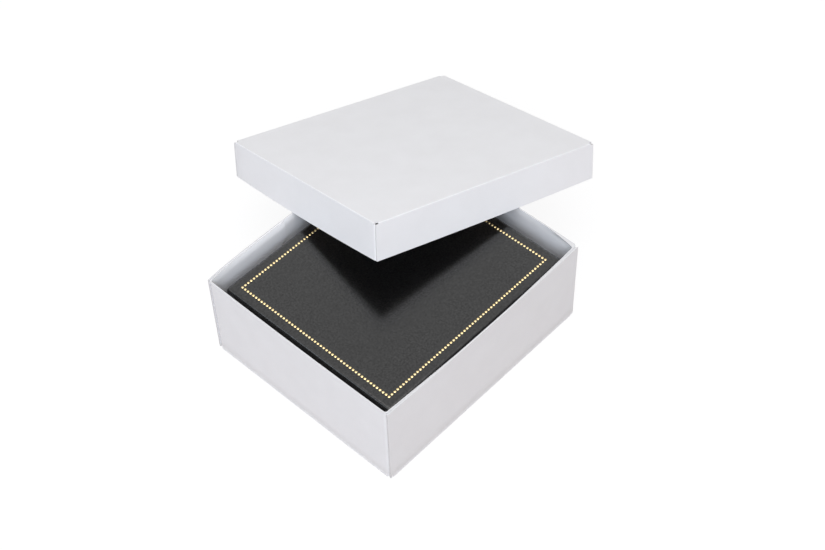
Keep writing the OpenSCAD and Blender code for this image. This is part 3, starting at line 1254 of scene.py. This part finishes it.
    def gold_border(self, dressing: Dressing) -> Object:
        """Stamps the border of gold dots on the top."""
        low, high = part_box("cap_cover")
        width = high.x - low.x - 2 * self.border_inset
        depth = high.y - low.y - 2 * self.border_inset
        count_w, count_d = round(width / self.dot_pitch), round(depth / self.dot_pitch)
        sides = (-1, 1)
        long_sides = [((k / count_w - 0.5) * width, s * depth / 2) for k in range(count_w + 1) for s in sides]
        short_sides = [(s * width / 2, (k / count_d - 0.5) * depth) for k in range(1, count_d) for s in sides]
        shape = Shape()
        dome = Matrix.Diagonal((self.dot / 2, self.dot / 2, self.dot_rise, 1.0))
        for x, y in long_sides + short_sides:
            place = self._middle() @ Matrix.Translation((x, y, high.z)) @ dome
            bmesh.ops.create_uvsphere(
                shape.bm, u_segments=self.dot_sides, v_segments=self.dot_rings, radius=1.0, matrix=place
            )
        below = [vert for vert in shape.bm.verts if vert.co.z < high.z - self.dot_rise / 4]
        bmesh.ops.delete(shape.bm, geom=below, context="VERTS")
        bmesh.ops.holes_fill(shape.bm, edges=shape.bm.edges)
        bmesh.ops.recalc_face_normals(shape.bm, faces=shape.bm.faces)
        piece = shape.finish("gold_dots", [dressing.gold], sharp=self.dot_sharp)
        return install(piece, Body.CAP, "gold_border")

    def dress_inside(self, dressing: Dressing, nodes: dict[str, Object]) -> None:
        """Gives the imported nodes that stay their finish.

        Args:
            dressing: The finishes.
            nodes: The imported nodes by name.
        """
        finishes = {
            "base_shell": dressing.plastic,
            "cap_shell": dressing.plastic,
            "base_bottom_sheet": dressing.leatherette,
            "insert_platform": dressing.grey_board,
            "cap_board": dressing.grey_board,
            "hinge_leaf_base": dressing.brass,
            "hinge_leaf_cap": dressing.brass,
            "hinge_rivets_base": dressing.brass,
            "hinge_rivets_cap": dressing.brass,
            "hinge_pin": dressing.steel,
            "hinge_spring": dressing.steel,
        }
        for name, material in finishes.items():
            mesh = nodes[name].data
            mesh.materials.clear()
            mesh.materials.append(material)
            LOG.info("%s keeps its node, in %s", name, material.name)


@dataclass
class Upholstery:
    """Soft pieces inside the box, swollen by a cloth simulation."""

    grow: float = 10.0
    frames: int = 20
    quality: int = 6
    pressure: float = 4.0
    voxel: float = 0.9 * MM
    travel: float = 0.45 * MM
    cuts: int = 23
    draw: float = 0.8 * MM
    edge: float = 0.9 * MM
    velvet_rise: float = 1.7 * MM
    satin_rise: float = 2.1 * MM
    slit_length: float = 14 * MM
    slit_width: float = 0.8 * MM
    slit_span: float = 34 * MM
    slit_depth: float = 1.8 * MM
    stuffing_cuts: tuple[int, int] = (16, 14)
    stuffing_flats: int = 3
    stuffing_round: float = 0.2
    sag: float = 0.06 * MM
    sag_size: float = 6 * MM

    def _pad(self, low: Vector, high: Vector, rise: float) -> Shape:
        """A crowned pad, before it swells.

        Args:
            low: Lowest corner of its place.
            high: Highest corner of its place.
            rise: Rise of its crown.

        Returns:
            The shape, with the crown up.
        """
        shape = Shape()
        size = Vector((high.x - low.x, high.y - low.y, self.edge))
        half = self.edge / 2
        move = Matrix.Translation((0.0, 0.0, half)) @ Matrix.Diagonal((*size, 1.0))
        bmesh.ops.create_cube(shape.bm, size=1.0, matrix=move)
        level = shape.edges_where(lambda mid, way: abs(way.z) < LEVEL)
        bmesh.ops.subdivide_edges(shape.bm, edges=level, cuts=self.cuts, use_grid_fill=True)
        for vert in shape.bm.verts:
            u, v = 2 * vert.co.x / size.x, 2 * vert.co.y / size.y
            if vert.co.z > half:
                vert.co.z += rise * math.sqrt(max(0.0, (1 - u ** 4) * (1 - v ** 4)))
            vert.co.x -= math.copysign(self.draw * (1 - v * v) * abs(u), u)
            vert.co.y -= math.copysign(self.draw * (1 - u * u) * abs(v), v)
        bmesh.ops.recalc_face_normals(shape.bm, faces=shape.bm.faces)
        return shape

    def _swell(self, piece: Object) -> None:
        """Lets a pad swell under its cloth and keeps the result.

        Args:
            piece: The pad, with its flat side at level 0.
        """
        piece.data.transform(Matrix.Scale(self.grow, 4))
        remesh = piece.modifiers.new("Remesh", "REMESH")
        remesh.mode = "VOXEL"
        remesh.voxel_size = self.voxel * self.grow
        self._keep(piece)
        start = [vert.co.copy() for vert in piece.data.vertices]
        held = piece.vertex_groups.new(name="held")
        foot = self.voxel * self.grow * 0.5
        held.add([vert.index for vert in piece.data.vertices if vert.co.z < foot], 1.0, "REPLACE")
        cloth = piece.modifiers.new("Cloth", "CLOTH")
        cloth.settings.use_pressure = True
        cloth.settings.uniform_pressure_force = self.pressure
        cloth.settings.effector_weights.gravity = 0.0
        cloth.settings.vertex_group_mass = "held"
        cloth.settings.quality = self.quality
        cloth.point_cache.frame_start = 1
        cloth.point_cache.frame_end = self.frames
        for frame in range(1, self.frames + 1):
            bpy.context.scene.frame_set(frame)
        self._keep(piece)
        bpy.context.scene.frame_set(1)
        for vert, origin in zip(piece.data.vertices, start):
            shift = vert.co - origin
            if shift.length > self.travel * self.grow:
                vert.co = origin + shift.normalized() * self.travel * self.grow
        piece.vertex_groups.clear()
        piece.data.transform(Matrix.Scale(1 / self.grow, 4))

    @staticmethod
    def _keep(piece: Object) -> None:
        """Applies a piece's modifiers."""
        graph = bpy.context.evaluated_depsgraph_get()
        made = bpy.data.meshes.new_from_object(piece.evaluated_get(graph))
        piece.modifiers.clear()
        piece.data = made

    @staticmethod
    def _soften(piece: Object) -> None:
        """Smooth faces and one subdivision."""
        piece.data.polygons.foreach_set("use_smooth", [True] * len(piece.data.polygons))
        finer = piece.modifiers.new("Subdivision", "SUBSURF")
        finer.levels = finer.render_levels = 1

    def velvet_cushion(self, dressing: Dressing) -> Object:
        """Builds the velvet pad with its two slits."""
        low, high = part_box("velvet_pad")
        piece = self._pad(low, high, self.velvet_rise).finish("velvet_cushion", [dressing.velvet])
        self._swell(piece)
        self._cut_slits(piece)
        piece.data.transform(Matrix.Translation(((low.x + high.x) / 2, (low.y + high.y) / 2, low.z)))
        self._soften(piece)
        install(piece, Body.BASE, "velvet_pad")
        return piece

    def _cut_slits(self, piece: Object) -> None:
        """Presses the two slits into the pad's top.

        Args:
            piece: The pad about its middle.
        """
        shape = Shape()
        shape.bm.from_mesh(piece.data)
        half_l, half_w = self.slit_length / 2, self.slit_width / 2
        ends = [s * self.slit_span / 2 + t * half_l for s in (-1, 1) for t in (-1, 1)]
        shape.cut(0, ends)
        shape.cut(1, (-half_w, 0.0, half_w))
        shape.bm.normal_update()
        middles = {face: face.calc_center_median() for face in shape.bm.faces if face.normal.z > LEVEL}
        pressed = [
            face for face, mid in middles.items()
            if abs(mid.y) < half_w and abs(abs(mid.x) - self.slit_span / 2) < half_l
        ]
        made = bmesh.ops.extrude_face_region(shape.bm, geom=pressed)["geom"]
        verts = [item for item in made if isinstance(item, BMVert)]
        bmesh.ops.translate(shape.bm, vec=(0.0, 0.0, -self.slit_depth), verts=verts)
        bmesh.ops.delete(shape.bm, geom=pressed, context="FACES")
        shape.bm.to_mesh(piece.data)
        shape.bm.free()

    def satin_cushion(self, dressing: Dressing) -> Object:
        """Builds the satin lining of the upper half, with its crown down."""
        low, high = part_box("satin_pad")
        piece = self._pad(low, high, self.satin_rise).finish("satin_cushion", [dressing.satin])
        self._swell(piece)
        place = Matrix.Translation(((low.x + high.x) / 2, (low.y + high.y) / 2, high.z))
        piece.data.transform(place @ Matrix.Rotation(math.pi, 4, "X"))
        self._soften(piece)
        install(piece, Body.CAP, "satin_pad")
        return piece

    def stuffing(self, name: str, node: str, body: Body, material: Material) -> Object:
        """Builds a block of foam or wadding with soft edges and an uneven skin.

        Args:
            name: Name of the piece.
            node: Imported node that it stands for.
            body: Body that it moves with.
            material: Its finish.

        Returns:
            The piece.
        """
        low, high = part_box(node)
        middle, size = (low + high) / 2, high - low
        shape = Shape()
        block = Matrix.Translation(middle) @ Matrix.Diagonal((*size, 1.0))
        bmesh.ops.create_cube(shape.bm, size=1.0, matrix=block)
        rounded = (high.z - low.z) * self.stuffing_round
        shape.round(list(shape.bm.edges), rounded, self.stuffing_flats)
        for axis, count in enumerate(self.stuffing_cuts):
            shape.cut(axis, (low[axis] + (high[axis] - low[axis]) * k / count for k in range(1, count)))
        for vert in shape.bm.verts:
            sag = self.sag * noise.noise(vert.co / self.sag_size)
            vert.co += (middle - vert.co).normalized() * abs(sag)
        piece = shape.finish(name, [material])
        install(piece, body, node)
        return piece


@dataclass(frozen=True)
class Lamp:
    """A soft square lamp: where it hangs, its side in metres, its power in watts and its colour."""

    name: str
    place: Point
    size: float
    power: float
    colour: Colour


@dataclass
class Studio:
    """Floor, light and camera."""

    station: Vector = field(default_factory=lambda: Vector((-239.7, -242.4, 427.7)) * MM)
    heading: float = 45.67
    pitch: float = 49.49
    roll: float = -1.93
    lens: float = 69.48
    film: float = 36.0
    aim: Vector = field(default_factory=lambda: Vector((0.0, 0.0, 20.0)) * MM)
    floor_size: float = 3.0
    ambient: float = 0.36
    floor_gap: float = 0.05 * MM
    floor_glow: float = 0.9
    shadow_share: float = 1.2
    floor_colour: Colour = (0.5, 0.43, 0.39)
    lamps: tuple[Lamp, ...] = (
        Lamp("window", (-0.61, -0.61, 0.75), 0.7, 7.6, (0.83, 0.89, 1.0)),
        Lamp("ceiling", (-0.1, -0.1, 1.1), 0.9, 5.3, (1.0, 0.955, 0.94)),
        Lamp("sky", (-0.85, 0.4, 0.65), 0.7, 1.6, (0.7, 0.84, 1.0)),
    )

    def camera(self) -> Object:
        """Places the camera at the photograph's station."""
        data = bpy.data.cameras.new("camera")
        data.lens = self.lens
        data.sensor_width = self.film
        data.clip_start = 0.01
        made = bpy.data.objects.new("camera", data)
        turn = (
            Matrix.Rotation(-math.radians(self.heading), 4, "Z")
            @ Matrix.Rotation(math.radians(90.0 - self.pitch), 4, "X")
            @ Matrix.Rotation(math.radians(self.roll), 4, "Z")
        )
        made.matrix_world = Matrix.Translation(self.station) @ turn
        bpy.context.scene.collection.objects.link(made)
        bpy.context.scene.camera = made
        return made

    @staticmethod
    def _shown(recipe: Recipe) -> Wire:
        """1 for rays that see the background itself, straight or by reflection."""
        kinds = ("Camera", "Glossy", "Transmission")
        straight, mirrored, passed = (
            recipe.node("ShaderNodeLightPath", output=f"Is {kind} Ray") for kind in kinds
        )
        return straight.either(mirrored).either(passed)

    def world(self) -> None:
        """Lights the scene from all sides, in front of a white background."""
        world = bpy.data.worlds.new("studio")
        world.use_nodes = True
        bpy.context.scene.world = world
        recipe = Recipe(world.node_tree)
        light, white = (
            recipe.node("ShaderNodeBackground", inputs={"Color": WHITE, "Strength": strength})
            for strength in (self.ambient, 1.0)
        )
        mixed = recipe.node("ShaderNodeMixShader", inputs={0: self._shown(recipe), 1: light, 2: white})
        recipe.node("ShaderNodeOutputWorld", inputs={"Surface": mixed})

    def floor(self) -> Object:
        """Lays a pale floor that shows white and keeps a faint shadow."""
        material, recipe = new_recipe("pale_floor")
        plain = recipe.node("ShaderNodeBsdfDiffuse", inputs={"Color": (*self.floor_colour, 1.0)})
        grey = self.shadow_share * (1.0 - self.floor_glow)
        faint = recipe.node("ShaderNodeBsdfDiffuse", inputs={"Color": (grey, grey, grey, 1.0)})
        glow = recipe.node("ShaderNodeEmission", inputs={"Color": WHITE, "Strength": self.floor_glow})
        lit = recipe.node("ShaderNodeAddShader", inputs={0: faint, 1: glow})
        mixed = recipe.node("ShaderNodeMixShader", inputs={0: self._shown(recipe), 1: plain, 2: lit})
        recipe.node("ShaderNodeOutputMaterial", inputs={"Surface": mixed})
        shape = Shape()
        shape.plate(self.floor_size, self.floor_size, -self.floor_gap)
        made = shape.finish("floor", [material])
        made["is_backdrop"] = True
        return made

    def lights(self) -> None:
        """Hangs the lamps, which look at the box."""
        for lamp in self.lamps:
            data = bpy.data.lights.new(lamp.name, "AREA")
            data.size = lamp.size
            data.energy = lamp.power
            data.color = lamp.colour
            made = bpy.data.objects.new(lamp.name, data)
            turn = (self.aim - Vector(lamp.place)).to_track_quat("-Z", "Y")
            made.matrix_world = Matrix.Translation(lamp.place) @ turn.to_matrix().to_4x4()
            bpy.context.scene.collection.objects.link(made)


def main(frame: dict[str, Any], cad_box: tuple[Vector, Vector]) -> None:
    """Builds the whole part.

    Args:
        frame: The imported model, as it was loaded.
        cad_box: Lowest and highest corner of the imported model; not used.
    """
    logging.basicConfig(level=logging.INFO, format="%(name)s: %(message)s")
    bpy.context.scene.view_settings.view_transform = "Standard"
    studio = Studio()
    studio.camera()
    studio.world()
    studio.floor()
    studio.lights()
    dressing = Dressing()
    carton = Carton()
    carton.tray(dressing)
    carton.lid(dressing)
    box = JewelBox()
    box.cap_covering(dressing)
    box.base_covering(dressing)
    box.gold_border(dressing)
    box.collar_lining(dressing)
    box.dress_inside(dressing, frame["nodes"])
    soft = Upholstery()
    soft.velvet_cushion(dressing)
    soft.satin_cushion(dressing)
    soft.stuffing("foam_block", "insert_foam", Body.BASE, dressing.foam)
    soft.stuffing("wadding_sheet", "cap_wadding", Body.CAP, dressing.wadding)


if __name__ == "__main__":
    for stray in list(bpy.data.objects):
        bpy.data.objects.remove(stray)
    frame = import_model()
    main(frame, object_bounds())
